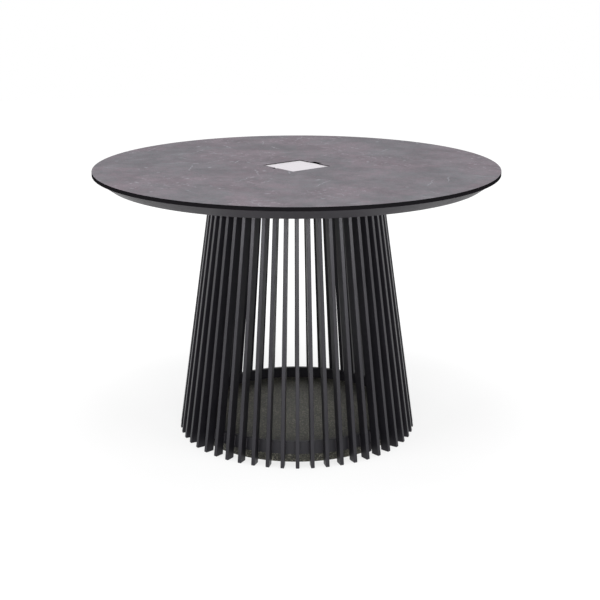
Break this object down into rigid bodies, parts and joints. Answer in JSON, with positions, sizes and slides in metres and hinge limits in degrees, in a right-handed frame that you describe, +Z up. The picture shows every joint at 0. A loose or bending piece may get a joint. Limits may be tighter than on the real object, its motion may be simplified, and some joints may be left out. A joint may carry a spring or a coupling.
{
  "type": "umbrella table",
  "caption": "Round garden table on a conical cage of canted flat slats, with a tilt-out square cover over a parasol pole sleeve and a granite slab as ballast.",
  "frame": {"origin": "on the floor under the middle of the table", "axes": "+Z up; X and Y along the sides of the square cover, with the wide finger notch on its +Y side"},
  "size_m": [1.0998, 1.1, 0.745],
  "materials": {
    "laminate": "matte",
    "stainless": "satin",
    "coated_bar": "satin",
    "coated_frame": "satin",
    "zinc_steel": "satin",
    "brass": "satin",
    "granite": "satin",
    "rubber": "matte",
    "black_plastic": "matte"
  },
  "bodies": {
    "table": {"apron_flange": "coated_frame", "apron_ring": "coated_frame", "apron_screws": "zinc_steel", "arm_1": "coated_frame", "arm_2": "coated_frame", "arm_3": "coated_frame", "arm_4": "coated_frame", "arm_end_caps": "black_plastic", "arm_spacers": "zinc_steel", "ballast_stone": "granite", "base_ring": "coated_bar", "board_inserts": "brass", "board_screws": "zinc_steel", "cage_bolts": "zinc_steel", "cage_nuts": "zinc_steel", "cage_top_ring": "coated_frame", "cage_washers": "zinc_steel", "cover_seat": "coated_frame", "hub_tubes": "coated_frame", "seat_pads": "rubber", "seat_screws": "zinc_steel", "slat_glides": "black_plastic", "slats_01": "coated_bar", "slats_02": "coated_bar", "slats_03": "coated_bar", "slats_04": "coated_bar", "slats_05": "coated_bar", "slats_06": "coated_bar", "slats_07": "coated_bar", "slats_08": "coated_bar", "slats_09": "coated_bar", "slats_10": "coated_bar", "slats_11": "coated_bar", "slats_12": "coated_bar", "slats_13": "coated_bar", "sleeve_bolts": "zinc_steel", "sleeve_nuts": "zinc_steel", "sleeve_plate": "coated_frame", "sleeve_tube": "coated_frame", "sleeve_washers": "zinc_steel", "stone_clips": "coated_frame", "table_board": "laminate"},
    "cover": {"cover_plate": "stainless"}
  },
  "joints": [
    {"name": "cover_tilt", "type": "hinge", "parent": "table", "child": "cover", "pos_m": [0, -0.064, 0.7435], "axis": [1, 0, 0], "range_deg": [0, 105]}
  ]
}
